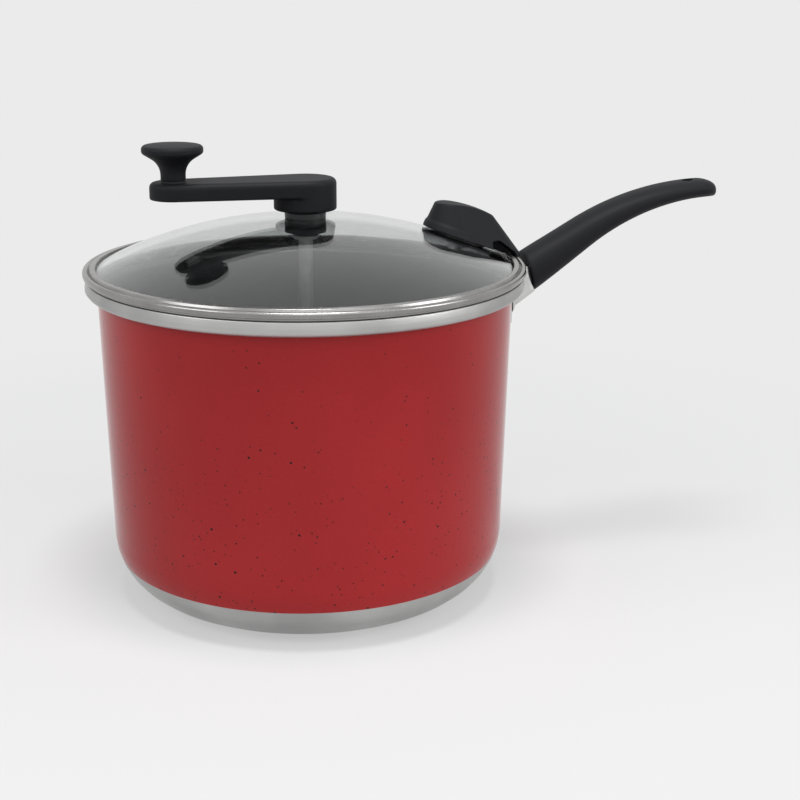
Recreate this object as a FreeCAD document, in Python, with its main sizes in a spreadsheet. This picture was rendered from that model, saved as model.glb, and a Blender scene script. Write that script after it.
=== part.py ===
import FreeCAD, Part
import math
import os
import re
import Sketcher
from FreeCAD import Placement, Rotation, Vector

# Stovetop popcorn popper: a 22 cm pressed aluminium pot with one long handle, a domed glass lid
# and a crank that turns a stirrer through the middle of the lid.
# +Z is up. The origin is the middle of the flat base, the handle points along +X and the crank
# arm rests along -X. Lengths are in mm and angles in degrees.

SIZES = {
    # pot
    "rim_step": 6.5,
    "wall_draft": 4.6,
    "wall_thickness": 1.8,
    "base_thickness": 3.0,
    "base_corner_radius": 35.0,
    "seat_depth": 8.3,
    "rim_radius": 120.5,
    "rim_height": 180.0,
    "rim_bend_radius": 4.0,
    "shoulder_fillet": 0.8,
    "rim_outer_fillet": 1.2,
    "rim_inner_fillet": 0.4,
    # handle bracket and its rivets
    "bracket_half_width": 10.0,
    "bracket_foot_drop": 28.5,
    "bracket_low_drop": 10.0,
    "bracket_top_rise": 4.7,
    "bracket_fillet": 2.5,
    "bracket_gap": 0.3,
    "flange_half_width": 20.0,
    "flange_thickness": 2.4,
    "flange_height": 19.5,
    "flange_drop": 3.2,
    "tongue_half_width": 5.0,
    "tongue_half_depth": 4.0,
    "tongue_root": 7.0,
    "tongue_reach": 35.0,
    "tongue_clearance": 0.2,
    "rivet_angle": 7.8,
    "rivet_radius": 2.4,
    "rivet_head_radius": 4.6,
    "rivet_head_rise": 1.9,
    "rivet_clearance": 0.05,
    "rivet_head_gap": 0.25,
    # handle
    "root_reach": 8.4,
    "root_drop": 6.0,
    "root_lean": 16.5,
    "handle_slope": 32.7,
    "handle_length": 126.8,
    "handle_straight": 39.1,
    "handle_bend_radius": 149.0,
    "handle_half_width": 12.2,
    "handle_root_half_height": 11.6,
    "handle_tip_half_height": 5.1,
    "handle_swell_power": 1.6,
    "handle_corner_share": 0.85,
    "handle_tip_round": 11.0,
    "handle_tip_turn": 72.0,
    "handle_tip_drop": 3.0,
    "hang_hole_radius": 3.5,
    "hang_hole_inset": 18.0,
    "handle_screw_reach": 23.1,
    "handle_screw_radius": 2.0,
    "handle_screw_length": 8.0,
    "handle_screw_head_radius": 3.8,
    "handle_screw_head_height": 2.4,
    "handle_screw_seat": 6.6,
    "screw_socket_flats": 2.6,
    "screw_socket_depth": 1.4,
    "screw_head_clearance": 0.3,
    # glass lid and its steel band
    "apex_rise": 31.0,
    "band_lip_inset": 6.1,
    "band_lip_rise": 4.7,
    "glass_thickness": 4.0,
    "glass_edge_inset": 3.5,
    "glass_hole_radius": 7.0,
    "band_overhang": 1.0,
    "band_seat_gap": 0.3,
    "band_seat_inset": 0.9,
    "band_seat_step": 1.1,
    "band_bead_width": 2.2,
    "band_bead_rise": 1.1,
    "band_groove_inset": 2.5,
    "band_groove_depth": 1.4,
    "band_roll_width": 2.1,
    "band_roll_depth": 4.6,
    "band_roll_fillet": 0.9,
    "band_bead_fillet": 0.7,
    "band_skirt_clearance": 0.5,
    "band_skirt_drop": 5.0,
    "band_skirt_width": 1.4,
    "band_lip_drop": 0.7,
    # lid grip
    "grip_rise": 31.1,
    "grip_nose_inset": 37.2,
    "grip_nose_radius": 23.5,
    "grip_tail_inset": 9.7,
    "grip_tail_radius": 14.0,
    "grip_top_nose_radius": 9.0,
    "grip_top_tail_inset": 21.0,
    "grip_top_tail_radius": 2.0,
    "grip_foot_width": 0.7,
    "grip_foot_height": 4.2,
    "grip_foot_inset": 28.0,
    "grip_foot_radius": 20.5,
    "grip_crown_inset": 45.0,
    "grip_crown_rise": 31.0,
    "grip_crown_radius": 66.0,
    "grip_arch_start_inset": 16.0,
    "grip_arch_bend_inset": 11.0,
    "grip_arch_end_inset": 1.1,
    "grip_arch_rise": 9.1,
    "grip_arch_foot_rise": 1.7,
    "grip_web_width": 7.0,
    "grip_bead_clearance": 0.4,
    "grip_screw_inset": 32.6,
    "grip_pad_thickness": 0.8,
    "grip_pad_radius": 16.0,
    "grip_screw_radius": 2.0,
    "grip_screw_hole_radius": 3.2,
    "grip_screw_reach": 12.0,
    "grip_screw_head_radius": 3.8,
    "grip_screw_head_height": 2.6,
    "grip_washer_radius": 6.0,
    "grip_washer_thickness": 1.0,
    "grip_seal_thickness": 1.0,
    # bushing in the middle of the lid
    "bushing_flange_radius": 11.3,
    "bushing_flange_thickness": 2.2,
    "bushing_tube_radius": 6.4,
    "bushing_tube_length": 12.4,
    "gasket_thickness": 0.8,
    "gasket_radius": 11.2,
    "bushing_nut_height": 5.4,
    "thread_clearance": 0.05,
    "small_edge_fillet": 0.5,
    # crank
    "thrust_washer_radius": 8.0,
    "thrust_washer_thickness": 1.0,
    "crank_throw": 71.5,
    "hub_radius": 17.2,
    "crank_tip_radius": 12.9,
    "hub_height": 8.2,
    "crank_arm_thickness": 9.2,
    "crank_edge_fillet": 3.0,
    "crank_low_fillet": 1.0,
    "shaft_radius": 4.0,
    "running_clearance": 0.06,
    "shaft_low_height": 14.0,
    "insert_flats": 13.0,
    "insert_height": 9.0,
    "shaft_engagement": 8.0,
    "lower_washer_radius": 7.6,
    "lower_washer_thickness": 0.8,
    "clip_groove_radius": 3.2,
    "clip_radius": 6.2,
    "clip_thickness": 1.0,
    "end_play": 0.2,
    "clip_opening": 3.4,
    # stirrer
    "stirrer_hub_radius": 8.0,
    "stirrer_hub_height": 15.6,
    "stirrer_floor_gap": 4.0,
    "stirrer_wire_radius": 1.75,
    "stirrer_wire_height": 11.4,
    "stirrer_straight": 14.0,
    "stirrer_bend_radius": 58.0,
    "stirrer_bend_angle": 62.0,
    "set_screw_radius": 2.0,
    "set_screw_height": 18.2,
    # knob
    "knob_neck_radius": 6.7,
    "knob_flare_height": 8.6,
    "knob_radius": 16.4,
    "knob_edge_low": 14.6,
    "knob_edge_top": 18.6,
    "knob_height": 19.4,
    "knob_flare_fillet": 10.0,
    "knob_edge_fillet": 2.1,
    "knob_washer_radius": 6.6,
    "knob_washer_thickness": 0.6,
    "stud_radius": 3.0,
    "stud_shoulder_radius": 4.0,
    "stud_rise": 14.0,
    "stud_nut_flats": 8.0,
    "stud_nut_height": 3.2,
    "stud_nut_recess": 3.6,
    "stud_nut_clearance": 0.2,
    "knob_bore_spare": 0.5,
    "snap_ring_height": 10.5,
    "snap_ring_wire": 0.5,
    "snap_groove_depth": 0.9,
    "snap_groove_half_height": 0.8,
}

# Places and sizes that follow from the sizes in the sheet, by name.
PLACES = {
    # pot
    "wall_top_radius": "rim_radius - rim_step",
    "wall_base_radius": "wall_top_radius - wall_draft",
    "shoulder_height": "rim_height - seat_depth",
    "wall_slope": "wall_draft / shoulder_height",
    # bracket and handle
    "flange_top_height": "shoulder_height - flange_drop",
    "flange_low_height": "flange_top_height - flange_height",
    "rivet_height": "(flange_low_height + flange_top_height) / 2",
    "root_radius": "rim_radius + root_reach",
    "root_height": "rim_height - root_drop",
    "bracket_foot_height": "rim_height - bracket_foot_drop",
    "bracket_low_height": "root_height - bracket_low_drop",
    "bracket_top_height": "root_height + bracket_top_rise",
    # lid
    "glass_apex_height": "rim_height + apex_rise",
    "glass_edge_radius": "rim_radius - glass_edge_inset",
    "band_lip_radius": "rim_radius - band_lip_inset",
    "band_lip_height": "rim_height + band_lip_rise",
    "dome_rise": "glass_apex_height - band_lip_height",
    "dome_radius": "(band_lip_radius ^ 2 + dome_rise ^ 2) / (2 * dome_rise)",
    "dome_centre": "glass_apex_height - dome_radius",
    "band_bottom": "rim_height + band_seat_gap",
    "band_seat_radius": "rim_radius - band_seat_inset",
    "band_roll_low": "band_bottom + band_seat_step",
    "band_outer_radius": "rim_radius + band_overhang",
    "band_roll_inner_radius": "band_outer_radius - band_roll_width",
    "band_roll_height": "band_bottom + band_roll_depth",
    "band_groove_radius": "rim_radius - band_groove_inset",
    "band_groove_height": "band_roll_height - band_groove_depth",
    "band_skirt_radius": "rim_radius - wall_thickness - band_skirt_clearance",
    # lid grip
    "grip_base_height": "band_roll_height",
    "grip_top_height": "grip_base_height + grip_rise",
    "grip_crown_height": "grip_base_height + grip_crown_rise",
    "grip_crown_middle": "rim_radius - grip_crown_inset",
    "grip_nose_centre": "rim_radius - grip_nose_inset",
    "grip_tail_centre": "rim_radius - grip_tail_inset",
    "grip_top_tail_centre": "rim_radius - grip_top_tail_inset",
    "grip_foot_centre": "rim_radius - grip_foot_inset",
    "grip_arch_start": "rim_radius - grip_arch_start_inset",
    "grip_arch_bend": "rim_radius - grip_arch_bend_inset",
    "grip_arch_end": "rim_radius - grip_arch_end_inset",
    "grip_arch_height": "grip_base_height + grip_arch_rise",
    "grip_arch_foot": "grip_base_height + grip_arch_foot_rise",
    "grip_polar": "asin((rim_radius - grip_screw_inset) / dome_radius)",
    # bushing and crank
    "bushing_base": "glass_apex_height + gasket_thickness",
    "bushing_top": "bushing_base + bushing_flange_thickness",
    "bushing_foot": "bushing_base - bushing_tube_length",
    "bushing_bore": "shaft_radius + running_clearance",
    "hub_base": "bushing_top + thrust_washer_thickness",
    "arm_base": "hub_base + hub_height",
    "arm_top": "arm_base + crank_arm_thickness",
    "shaft_top": "hub_base + shaft_engagement",
    "washer_base": "bushing_foot - end_play - lower_washer_thickness",
    "clip_base": "washer_base - clip_thickness",
    "knob_base": "arm_top + knob_washer_thickness + end_play / 2",
}

doc = FreeCAD.newDocument("popcorn_popper")
sheet = doc.addObject("Spreadsheet::Sheet", "sizes")
for row, (size, amount) in enumerate(SIZES.items(), 1):
    sheet.set(f"A{row}", size)
    sheet.set(f"B{row}", str(amount))
    sheet.setAlias(f"B{row}", size)
doc.recompute()


def linked(text):
    """The expression with every name of a size or place worked down to cells of the sheet."""

    def cell(word):
        name = word[0]
        if name in PLACES:
            return f"({linked(PLACES[name])})"
        return f"sizes.{name}" if name in SIZES else name

    return re.sub(r"[a-z_]+", cell, text)


def number(text):
    """The present value of an expression on the sizes."""
    return float(sheet.evalExpression(linked(text)))


# ------------------------------------------------------------------ sketch and feature helpers

NODES = []
NEAR = 0.01
NOTHING = 1e-6
PLANES = {"top": "XY_Plane", "side": "XZ_Plane", "across": "YZ_Plane"}


def new_body(label, lift="0", shift="0", lean="0", back=False):
    """A body that is one sub-part, placed at a height and a radius and leaned out or back."""
    body = doc.addObject("PartDesign::Body", label)
    body.Label = label
    if lean != "0":
        body.Placement = Placement(Vector(), Rotation(Vector(0, -1 if back else 1, 0), number(lean)))
        body.setExpression("Placement.Rotation.Angle", linked(lean))
    body.setExpression("Placement.Base.z", linked(lift))
    body.setExpression("Placement.Base.x", linked(shift))
    NODES.append(body)
    return body


def new_sketch(body, plane="side", lift="0"):
    """A sketch on one of the body's own planes; lift moves it along the plane's normal."""
    sketch = body.newObject("Sketcher::SketchObject", body.Label + "_sketch")
    support = next(item for item in body.Origin.OriginFeatures if item.Role == PLANES[plane])
    sketch.AttachmentSupport = (support, [""])
    sketch.MapMode = "FlatFace"
    sketch.setExpression("AttachmentOffset.Base.z", linked(lift))
    return sketch


def placed_sketch(body, plane, place, axis, angle):
    """A sketch moved along its plane's own x, y and z, and turned about an axis through it."""
    sketch = new_sketch(body, plane)
    sketch.AttachmentOffset = Placement(Vector(), Rotation(Vector(*axis), number(angle)))
    for letter, text in zip("xyz", place):
        sketch.setExpression(f"AttachmentOffset.Base.{letter}", linked(text))
    sketch.setExpression("AttachmentOffset.Rotation.Angle", linked(angle))
    return sketch


def fix(sketch, geometry, place, x, y):
    """Holds one point of the sketch at an x and a y that follow the sizes."""
    for kind, text, axis in (("DistanceX", x, -2), ("DistanceY", y, -1)):
        amount = number(text)
        if abs(amount) < NOTHING:
            sketch.addConstraint(Sketcher.Constraint("PointOnObject", geometry, place, axis))
            continue
        ends = (-1, 1, geometry, place) if amount > 0 else (geometry, place, -1, 1)
        index = sketch.addConstraint(Sketcher.Constraint(kind, *ends, abs(amount)))
        sketch.setExpression(f"Constraints[{index}]", linked(text if amount > 0 else f"-({text})"))


def hold(sketch, kind, geometry, text):
    """Gives one curve of the sketch a radius that follows the sizes."""
    index = sketch.addConstraint(Sketcher.Constraint(kind, geometry, number(text)))
    sketch.setExpression(f"Constraints[{index}]", linked(text))


def outline(sketch, corners, arcs=None):
    """A closed outline. arcs maps the edge after a corner to (radius, centre x, centre y)."""
    arcs = arcs or {}
    points = [Vector(number(x), number(y), 0) for x, y in corners]
    first = sketch.GeometryCount
    count = len(points)
    ends = []
    for index, start in enumerate(points):
        stop = points[(index + 1) % count]
        if index not in arcs:
            sketch.addGeometry(Part.LineSegment(start, stop), False)
            ends.append((1, 2))
            continue
        radius, across, up = (number(text) for text in arcs[index])
        centre = Vector(across, up, 0)
        turn = math.atan2(stop.y - up, stop.x - across) - math.atan2(start.y - up, start.x - across)
        anticlockwise = math.remainder(turn, math.tau) > 0
        low, high = (start, stop) if anticlockwise else (stop, start)
        angles = [math.atan2(point.y - up, point.x - across) for point in (low, high)]
        circle = Part.Circle(centre, Vector(0, 0, 1), radius)
        sketch.addGeometry(Part.ArcOfCircle(circle, *angles), False)
        ends.append((1, 2) if anticlockwise else (2, 1))
    for index in range(count):
        after = (index + 1) % count
        joint = (first + index, ends[index][1], first + after, ends[after][0])
        sketch.addConstraint(Sketcher.Constraint("Coincident", *joint))
    for index, (x, y) in enumerate(corners):
        fix(sketch, first + index, ends[index][0], x, y)
    for index in arcs:
        hold(sketch, "Radius", first + index, arcs[index][0])


def disc(sketch, radius, x="0", y="0"):
    """A circle in the sketch."""
    centre = Vector(number(x), number(y), 0)
    index = sketch.addGeometry(Part.Circle(centre, Vector(0, 0, 1), number(radius)), False)
    fix(sketch, index, 3, x, y)
    hold(sketch, "Radius", index, radius)


def hexagon(sketch, flats, x="0"):
    """A hexagon in the sketch, given by the distance across its flats."""
    corner = f"({flats} / sqrt(3))"
    turns = [(1, 0), (0.5, 1), (-0.5, 1), (-1, 0), (-0.5, -1), (0.5, -1)]
    outline(sketch, [(f"{x} + {corner} * {across}", f"({flats}) / 2 * {up}") for across, up in turns])


def taper_outline(sketch, near, far):
    """Two arcs joined by their common tangents. near and far are (x, radius), near at the right."""
    (near_x, near_radius), (far_x, far_radius) = near, far
    lean = f"(({near_radius} - ({far_radius})) / ({near_x} - ({far_x})))"
    level = f"sqrt(1 - {lean} ^ 2)"
    right = (f"{near_x} - {near_radius} * {lean}", f"{near_radius} * {level}")
    left = (f"{far_x} - {far_radius} * {lean}", f"{far_radius} * {level}")
    half = [(near_x + " + " + near_radius, "0"), right, left, (f"{far_x} - {far_radius}", "0")]
    below = [(x, f"-({y})") for x, y in (left, right)]
    near_arc = (near_radius, near_x, "0")
    far_arc = (far_radius, far_x, "0")
    outline(sketch, half + below, {0: near_arc, 2: far_arc, 3: far_arc, 5: near_arc})


def feature(body, kind, sketch, **settings):
    """A sketch-based feature. Text settings are expressions, the rest are plain values."""
    before = body.Shape.Volume if body.Tip else 0
    item = body.newObject(f"PartDesign::{kind}", f"{body.Label}_{kind.lower()}")
    item.Profile = sketch
    for name, value in settings.items():
        if isinstance(value, str):
            item.setExpression(name, linked(value))
        else:
            setattr(item, name, value)
    sketch.Visibility = False
    doc.recompute()
    change = body.Shape.Volume - before
    cuts = kind in ("Pocket", "Groove")
    if (change >= -NOTHING) if cuts else (change <= NOTHING):
        raise ValueError(f"{item.Name} changed the volume by {change:.3f}")
    return item


def pad(body, sketch, length, **settings):
    return feature(body, "Pad", sketch, Length=length, **settings)


def pocket(body, sketch, length, **settings):
    return feature(body, "Pocket", sketch, Length=length, **settings)


def turned(body, sketch, kind="Revolution", axis="V_Axis"):
    """Adds (Revolution) or removes (Groove) the sketch turned about one of its own axes."""
    return feature(body, kind, sketch, ReferenceAxis=(sketch, [axis]), Angle=360.0)


def rounded(body, radius, chosen, kind="Fillet"):
    """Rounds or bevels the edges of the body that the test picks."""
    base = body.Tip
    names = [f"Edge{index}" for index, edge in enumerate(base.Shape.Edges, 1) if chosen(edge)]
    if not names:
        raise ValueError(f"no edge to round on {body.Label}")
    item = body.newObject(f"PartDesign::{kind}", f"{body.Label}_{kind.lower()}")
    item.Base = (base, names)
    item.setExpression("Radius" if kind == "Fillet" else "Size", linked(radius))
    doc.recompute()
    if not item.isValid():
        raise ValueError(f"{item.Name} can't be made")
    return item


def ring(radius, height):
    """Picks the round edge about the vertical axis with this radius and height."""
    across, up = number(radius), number(height)

    def chosen(edge):
        if edge.Length < NEAR:
            return False
        curve = edge.Curve
        return (
            isinstance(curve, Part.Circle)
            and abs(curve.Radius - across) < NEAR
            and abs(curve.Center.z - up) < NEAR
            and math.hypot(curve.Center.x, curve.Center.y) < NEAR
        )

    return chosen


def rings(*places):
    """Picks every round edge about the vertical axis in a list of radii and heights."""
    tests = [ring(radius, height) for radius, height in places]
    return lambda edge: any(test(edge) for test in tests)


def level(height):
    """Picks the edges that lie at this height."""
    up = number(height)
    return lambda edge: max(abs(point.z - up) for point in edge.discretize(5)) < NEAR


def turned_body(label, corners, arcs=None, **place):
    """A body that is one outline turned about its own vertical axis."""
    body = new_body(label, **place)
    sketch = new_sketch(body)
    outline(sketch, corners, arcs)
    turned(body, sketch)
    return body


def washer(label, bore, radius, thickness, **place):
    """A flat ring."""
    corners = [(bore, "0"), (radius, "0"), (radius, thickness), (bore, thickness)]
    return turned_body(label, corners, **place)


# ------------------------------------------------------------------ shared places


def wall_radius(height):
    """Outer radius of the pot's slightly tapered wall at a height."""
    return f"(wall_base_radius + wall_slope * ({height}))"


def bracket_end(height):
    """Radius of the bracket's outer end, a leaning plane, at a height."""
    return f"(root_radius - (({height}) - root_height) * tan(root_lean))"


def along(reach, up="0"):
    """Place (x, z) at a distance along and above the straight part of the handle's middle line."""
    return (
        f"(root_radius + ({reach}) * cos(handle_slope) - ({up}) * sin(handle_slope))",
        f"(root_height + ({reach}) * sin(handle_slope) + ({up}) * cos(handle_slope))",
    )


def tongue_outline(sketch, start, stop, spare="0"):
    """The side view of the bracket's tongue, or of the slot that takes it."""
    depth = f"(tongue_half_depth + {spare})"
    places = ((start, f"-{depth}"), (stop, f"-{depth}"), (stop, depth), (start, depth))
    outline(sketch, [along(reach, up) for reach, up in places])


def dome_place(out, polar="grip_polar"):
    """Place (x, z) at a distance out from the glass, on a line that leans from the dome's centre."""
    return (
        f"((dome_radius + ({out})) * sin({polar}))",
        f"(dome_centre + (dome_radius + ({out})) * cos({polar}))",
    )


def dome_height(radius, offset="0"):
    """Height of the glass at a radius, offset outwards from its upper face."""
    return f"(dome_centre + sqrt((dome_radius + {offset}) ^ 2 - ({radius}) ^ 2))"


# ------------------------------------------------------------------ pot shell
# One sheet of aluminium, deep drawn: a flat thick base, a large corner, a slightly tapered
# wall and a step near the top that opens into the seat for the lid.

pot_inside_base = "wall_base_radius - wall_thickness"
pot_inside_step = "wall_top_radius - wall_thickness"
rim_inside = "rim_radius - wall_thickness"
ledge_height = "shoulder_height + wall_thickness"
pot_shell = turned_body(
    "pot_shell",
    [
        ("0", "0"),
        ("wall_base_radius", "0"),
        ("wall_top_radius", "shoulder_height"),
        ("rim_radius", "shoulder_height"),
        ("rim_radius", "rim_height"),
        (rim_inside, "rim_height"),
        (rim_inside, ledge_height),
        (pot_inside_step, ledge_height),
        (f"{pot_inside_base} + wall_slope * base_thickness", "base_thickness"),
        ("0", "base_thickness"),
    ],
)
inner_corner = ring(f"{pot_inside_base} + wall_slope * base_thickness", "base_thickness")
rounded(pot_shell, "base_corner_radius - base_thickness", inner_corner)
rounded(pot_shell, "base_corner_radius", ring("wall_base_radius", "0"))
rounded(pot_shell, "rim_bend_radius", ring("rim_radius", "shoulder_height"))
rounded(pot_shell, "rim_bend_radius - wall_thickness", ring(rim_inside, ledge_height))
rounded(pot_shell, "shoulder_fillet", ring("wall_top_radius", "shoulder_height"))
rounded(pot_shell, "shoulder_fillet + wall_thickness", ring(pot_inside_step, ledge_height))
rounded(pot_shell, "rim_outer_fillet", ring("rim_radius", "rim_height"))
rounded(pot_shell, "rim_inner_fillet", ring(rim_inside, "rim_height"))


def rivet_holes(body):
    """Drills both rivet holes outwards through the wall and the bracket."""
    for side in (-1, 1):
        middle = ("0", "rivet_height", "0")
        sketch = placed_sketch(body, "across", middle, (0, 1, 0), f"{side} * rivet_angle")
        disc(sketch, "rivet_radius + rivet_clearance")
        pocket(body, sketch, "rim_radius + flange_thickness", Reversed=True)


rivet_holes(pot_shell)

# ------------------------------------------------------------------ handle bracket
# Polished cast aluminium: a curved flange riveted under the rim, a neck that sweeps out and
# up, and a flat tongue that enters the handle.

handle_bracket = new_body("handle_bracket")
flange_low = wall_radius("flange_low_height")
flange_top = wall_radius("flange_top_height")
flange = new_sketch(handle_bracket)
outline(
    flange,
    [
        (flange_low, "flange_low_height"),
        (f"{flange_low} + flange_thickness", "flange_low_height"),
        (f"{flange_top} + flange_thickness", "flange_top_height"),
        (flange_top, "flange_top_height"),
    ],
)
turned(handle_bracket, flange)
trim = new_sketch(handle_bracket, "top")
for low_x, high_x, half_y in (
    ("-2 * rim_radius", "2 * rim_radius", "2 * rim_radius"),
    ("0", "rim_radius + flange_thickness", "flange_half_width"),
):
    corners = [(low_x, f"-({half_y})"), (high_x, f"-({half_y})"), (high_x, half_y), (low_x, half_y)]
    outline(trim, corners)
pocket(handle_bracket, trim, "rim_height", Reversed=True)
neck = new_sketch(handle_bracket)
outline(
    neck,
    [
        ("wall_base_radius", "bracket_foot_height"),
        (wall_radius("bracket_foot_height"), "bracket_foot_height"),
        (bracket_end("bracket_low_height"), "bracket_low_height"),
        (bracket_end("bracket_top_height"), "bracket_top_height"),
        ("wall_base_radius", "bracket_top_height"),
    ],
)
pad(handle_bracket, neck, "2 * bracket_half_width", Midplane=True)


def neck_corner(edge):
    """Picks the long edges of the neck, above and below."""
    sides = all(abs(abs(point.y) - number("bracket_half_width")) < NEAR for point in edge.discretize(3))
    return sides and edge.BoundBox.XLength > number("flange_thickness")


rounded(handle_bracket, "bracket_fillet", neck_corner)
wall_cut = new_sketch(handle_bracket)
cut_low = "(flange_low_height - flange_thickness)"
under_rim = "shoulder_height - bracket_gap"
under_rim_centre = "shoulder_height + rim_bend_radius"
outline(
    wall_cut,
    [
        ("0", cut_low),
        (wall_radius(cut_low), cut_low),
        (wall_radius(under_rim), under_rim),
        ("rim_radius - rim_bend_radius", under_rim),
        ("rim_radius + bracket_gap", under_rim_centre),
        ("rim_radius + bracket_gap", "rim_height"),
        ("0", "rim_height"),
    ],
    {3: ("rim_bend_radius + bracket_gap", "rim_radius - rim_bend_radius", under_rim_centre)},
)
turned(handle_bracket, wall_cut, "Groove")
tongue = new_sketch(handle_bracket)
tongue_outline(tongue, "-tongue_root", "tongue_reach")
pad(handle_bracket, tongue, "2 * tongue_half_width", Midplane=True)
screw_line = along("handle_screw_reach")
tongue_hole = placed_sketch(
    handle_bracket, "top", (screw_line[0], "0", screw_line[1]), (0, -1, 0), "handle_slope"
)
disc(tongue_hole, "handle_screw_radius + thread_clearance")
pocket(handle_bracket, tongue_hole, "4 * tongue_half_depth", Midplane=True)
rivet_holes(handle_bracket)

# Two solid rivets hold the bracket; their domed heads show inside the pot too.
bracket_rivets = new_body("bracket_rivets")
rivet = placed_sketch(bracket_rivets, "top", ("0", "0", "rivet_height"), (0, 0, 1), "rivet_angle")
rivet_wall = wall_radius("rivet_height")
back_of_head = f"({rivet_wall} - wall_thickness - rivet_head_gap)"
front_of_head = f"({rivet_wall} + flange_thickness + rivet_head_gap)"
head_dome = "((rivet_head_radius ^ 2 + rivet_head_rise ^ 2) / (2 * rivet_head_rise))"
outline(
    rivet,
    [
        (f"{back_of_head} - rivet_head_rise", "0"),
        (back_of_head, "rivet_head_radius"),
        (back_of_head, "rivet_radius"),
        (front_of_head, "rivet_radius"),
        (front_of_head, "rivet_head_radius"),
        (f"{front_of_head} + rivet_head_rise", "0"),
    ],
    {
        0: (head_dome, f"{back_of_head} - rivet_head_rise + {head_dome}", "0"),
        4: (head_dome, f"{front_of_head} + rivet_head_rise - {head_dome}", "0"),
    },
)
one_rivet = turned(bracket_rivets, rivet, axis="H_Axis")
mirrored = bracket_rivets.newObject("PartDesign::Mirrored", "bracket_rivets_mirrored")
mirrored.Originals = [one_rivet]
side_plane = next(item for item in bracket_rivets.Origin.OriginFeatures if item.Role == PLANES["side"])
mirrored.MirrorPlane = (side_plane, [""])
bracket_rivets.Tip = mirrored

# ------------------------------------------------------------------ handle
# Black phenolic moulding with an oval section that flattens towards the drooping tip. Its root
# butts against the bracket, and one screw from below holds it on the bracket's tongue.


def oval(sketch, half_width, half_height):
    """A section with broad round corners."""
    corner = f"(handle_corner_share * min({half_width}; {half_height}))"
    flat_x = f"({half_width} - {corner})"
    flat_y = f"({half_height} - {corner})"
    corners = []
    arcs = {}
    for right, up in ((1, -1), (1, 1), (-1, 1), (-1, -1)):
        x_end = (f"{right} * {half_width}", f"{up} * {flat_y}")
        y_end = (f"{right} * {flat_x}", f"{up} * {half_height}")
        pair = [y_end, x_end] if right * up < 0 else [x_end, y_end]
        arcs[len(corners)] = (corner, f"{right} * {flat_x}", f"{up} * {flat_y}")
        corners.extend(pair)
    outline(sketch, corners, arcs)


handle_grip = new_body("handle_grip")
bend_start_x, bend_start_z = along("handle_straight")


def handle_station(reach):
    """Middle (x, z), climb and half height of the handle at a distance along it."""
    bent = f"max(0; ({reach}) - handle_straight)"
    climb = f"(handle_slope - {bent} / handle_bend_radius * 180 / pi)"
    flat = f"min({reach}; handle_straight)"
    x = f"root_radius + {flat} * cos(handle_slope)"
    z = f"root_height + {flat} * sin(handle_slope)"
    x += f" + handle_bend_radius * (sin(handle_slope) - sin({climb}))"
    z += f" + handle_bend_radius * (cos({climb}) - cos(handle_slope))"
    swell = "(handle_root_half_height - handle_tip_half_height)"
    half_height = f"(handle_tip_half_height + {swell} * (1 - ({reach}) / handle_length) ^ handle_swell_power)"
    return x, z, climb, half_height


def handle_section(reach, narrowing="0", lean=None):
    """One cross-section; narrowing is the angle by which the tip has turned in."""
    x, z, climb, half_height = handle_station(reach)
    z += f" - handle_tip_drop * (1 - cos({narrowing}))"
    sketch = placed_sketch(handle_grip, "across", ("0", z, x), (-1, 0, 0), lean or climb)
    width = f"(handle_half_width * cos({narrowing}))"
    oval(sketch, width, f"({half_height} * sqrt(cos({narrowing})))")
    return sketch


def loft(body, sections, ruled):
    """Adds the solid that runs through the sections."""
    item = feature(body, "AdditiveLoft", sections[0], Sections=sections[1:], Ruled=ruled)
    for sketch in sections:
        sketch.Visibility = False
    return item


SECTIONS = 7
TIP_SECTIONS = 4
tip_start = "(handle_length - handle_tip_round)"
stations = [f"{tip_start} * {index} / {SECTIONS - 1}" for index in range(SECTIONS)]
sections = [handle_section(stations[0], lean="root_lean")]
sections += [handle_section(reach) for reach in stations[1:]]
loft(handle_grip, sections, False)
turns = [f"(handle_tip_turn * {index} / {TIP_SECTIONS})" for index in range(TIP_SECTIONS + 1)]
tip = [handle_section(f"({tip_start} + handle_tip_round * sin({turn}))", turn) for turn in turns]
loft(handle_grip, tip, True)
socket = new_sketch(handle_grip)
tongue_outline(socket, "-tongue_reach", "tongue_reach + tongue_clearance", "tongue_clearance")
pocket(handle_grip, socket, "2 * (tongue_half_width + tongue_clearance)", Midplane=True)
screw_hole = placed_sketch(
    handle_grip, "top", (screw_line[0], "0", screw_line[1]), (0, -1, 0), "handle_slope"
)
disc(screw_hole, "handle_screw_radius + screw_head_clearance")
pocket(handle_grip, screw_hole, "handle_screw_seat")
head_line = along("handle_screw_reach", "-handle_screw_seat")
head_seat = placed_sketch(
    handle_grip, "top", (head_line[0], "0", head_line[1]), (0, -1, 0), "handle_slope"
)
disc(head_seat, "handle_screw_head_radius + screw_head_clearance")
pocket(handle_grip, head_seat, "handle_root_half_height")
hang_x = handle_station("(handle_length - hang_hole_inset)")[0]
hang_hole = new_sketch(handle_grip, "top", "2 * rim_height")
disc(hang_hole, "hang_hole_radius", hang_x)
pocket(handle_grip, hang_hole, "2 * rim_height")


def screw(label, shank, length, head, head_height, **place):
    """A pan-head screw with a hexagon socket. Its head hangs below its own origin."""
    corners = [("0", f"-{head_height}"), (head, f"-{head_height}"), (head, "0")]
    corners += [(shank, "0"), (shank, length), ("0", length)]
    body = turned_body(label, corners, **place)
    rounded(body, "small_edge_fillet", ring(head, f"-{head_height}"))
    recess = new_sketch(body, "top", f"-{head_height} + screw_socket_depth")
    hexagon(recess, "screw_socket_flats")
    pocket(body, recess, "screw_socket_depth")
    return body


screw(
    "handle_screw",
    "handle_screw_radius",
    "handle_screw_length",
    "handle_screw_head_radius",
    "handle_screw_head_height",
    shift=head_line[0],
    lift=head_line[1],
    lean="handle_slope",
    back=True,
)

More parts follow.
